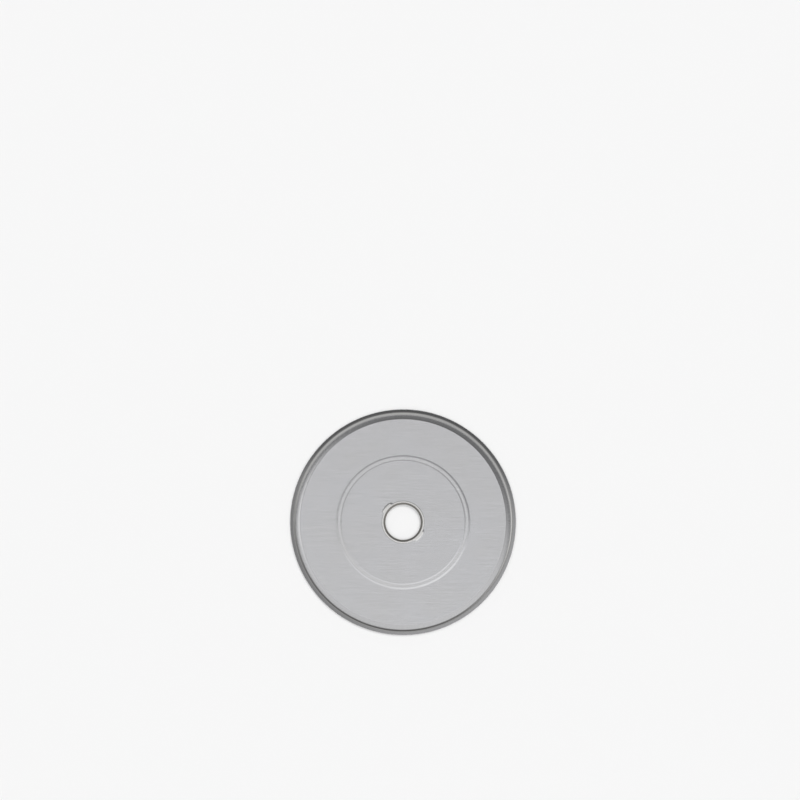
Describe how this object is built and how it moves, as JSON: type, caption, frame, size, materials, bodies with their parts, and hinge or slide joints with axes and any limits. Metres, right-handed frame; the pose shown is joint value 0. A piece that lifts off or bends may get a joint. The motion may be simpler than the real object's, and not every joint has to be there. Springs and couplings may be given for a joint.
{
  "type": "rotary cutter blade",
  "caption": "Thin round steel blade with a central bore, a raised clamping land and a rim ground on both faces to a sharp edge.",
  "frame": {"origin": "on the blade's axis, in the plane that the blade lies on", "axes": "+Z along the blade's axis, towards the face with the raised clamping land; +X and +Y lie in the blade's plane, with the two lugs beside the bore near 140 and 320 degrees from +X"},
  "size_m": [0.045, 0.045, 0.0004],
  "materials": {
    "satin_steel": "satin rolled faces, ground rim"
  },
  "bodies": {
    "root": {"rotary_blade": "satin_steel"}
  },
  "joints": []
}
